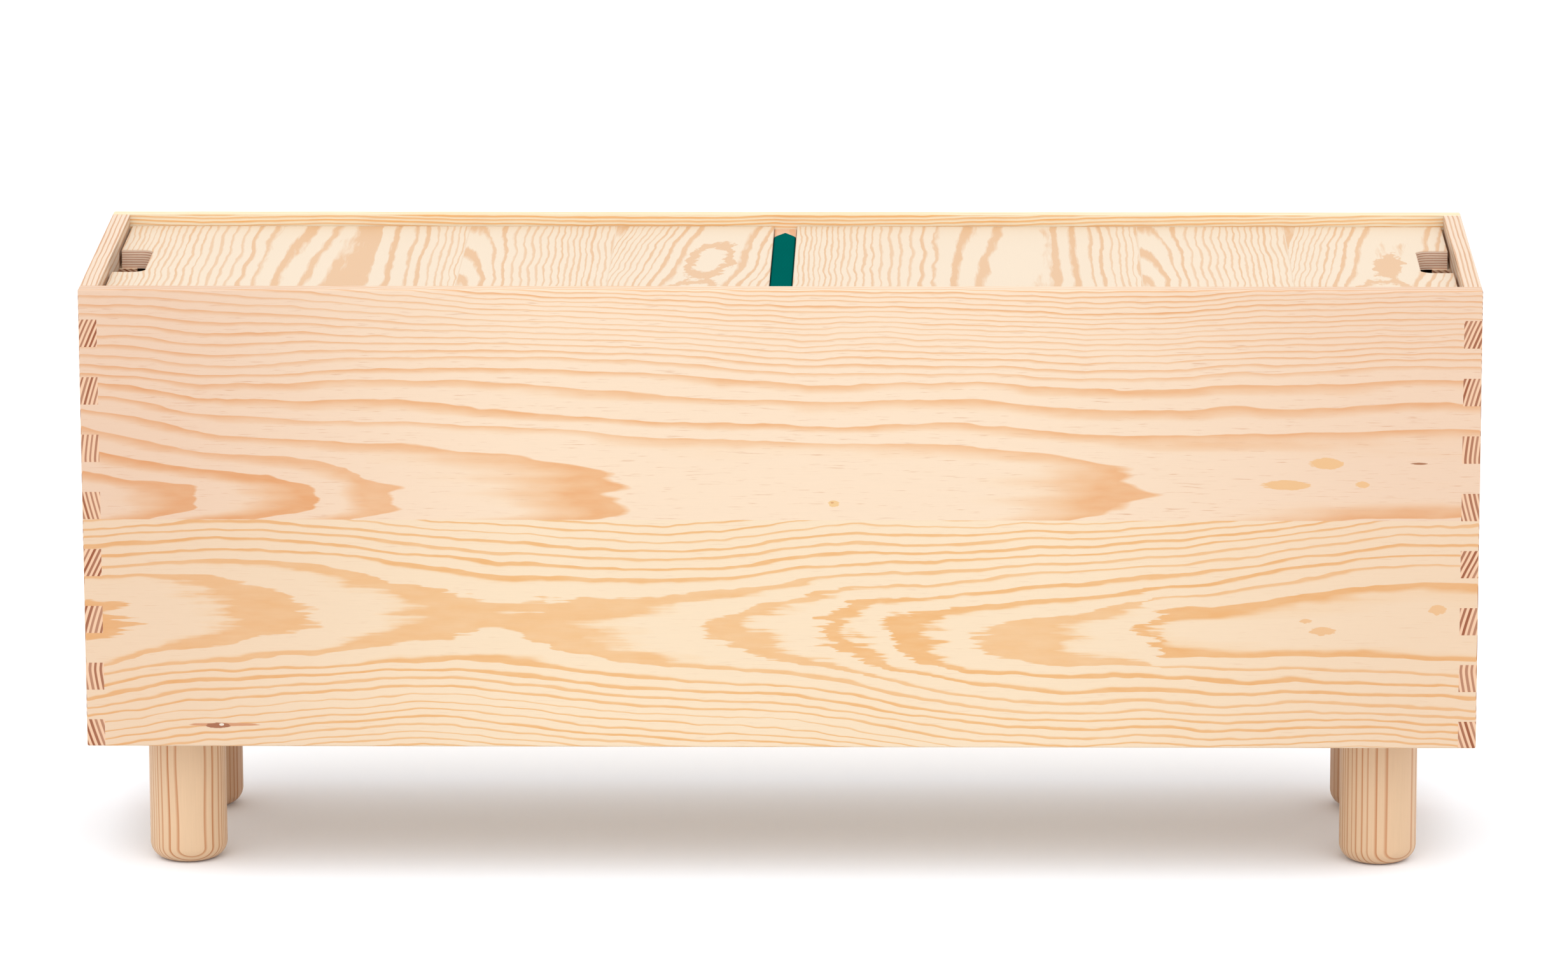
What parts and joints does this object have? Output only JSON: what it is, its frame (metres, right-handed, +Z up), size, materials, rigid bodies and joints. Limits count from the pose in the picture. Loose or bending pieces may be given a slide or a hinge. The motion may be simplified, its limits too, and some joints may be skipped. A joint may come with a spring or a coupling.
{
  "type": "wooden toy box",
  "caption": "Long finger-jointed pine toy box on round legs, with loose lids that have finger notches and a woven strap on the rib between them.",
  "frame": {"origin": "on the floor, under the middle of the box", "axes": "+X along the length, front face towards -Y, +Z up"},
  "size_m": [1.07, 0.3, 0.467],
  "materials": {
    "wall_pine": "pale pine, thin matt lacquer",
    "leg_pine": "turned pine, thin matt lacquer",
    "frame_pine": "planed pine, sanded",
    "lid_plywood": "pine-faced plywood, matt lacquer",
    "panel_plywood": "pine-faced plywood, sanded",
    "beech": "fluted beech dowel",
    "webbing": "dark teal herringbone webbing",
    "zinc_steel": "zinc-plated steel",
    "insert_brass": "plain brass"
  },
  "bodies": {
    "box": {"bottom_panel": "panel_plywood", "centre_rail": "frame_pine", "centre_rib": "frame_pine", "front_ledge_left": "frame_pine", "front_ledge_right": "frame_pine", "front_lower_board": "wall_pine", "front_upper_board": "wall_pine", "ledge_screws": "zinc_steel", "left_ledge_front": "frame_pine", "left_ledge_rear": "frame_pine", "left_lower_board": "wall_pine", "left_upper_board": "wall_pine", "leg_bolts": "zinc_steel", "leg_front_left": "leg_pine", "leg_front_right": "leg_pine", "leg_inserts": "insert_brass", "leg_rear_left": "leg_pine", "leg_rear_right": "leg_pine", "leg_washers": "zinc_steel", "rail_dowels": "beech", "rear_ledge_left": "frame_pine", "rear_ledge_right": "frame_pine", "rear_lower_board": "wall_pine", "rear_upper_board": "wall_pine", "right_ledge_front": "frame_pine", "right_ledge_rear": "frame_pine", "right_lower_board": "wall_pine", "right_upper_board": "wall_pine", "strap": "webbing"},
    "lid_left": {"lid_left": "lid_plywood"},
    "lid_right": {"lid_right": "lid_plywood"}
  },
  "joints": [
    {"name": "lid_left_lift", "type": "slide", "parent": "box", "child": "lid_left", "axis": [0, 0, 1], "range_m": [0, 0.1]},
    {"name": "lid_right_lift", "type": "slide", "parent": "box", "child": "lid_right", "axis": [0, 0, 1], "range_m": [0, 0.1]}
  ]
}
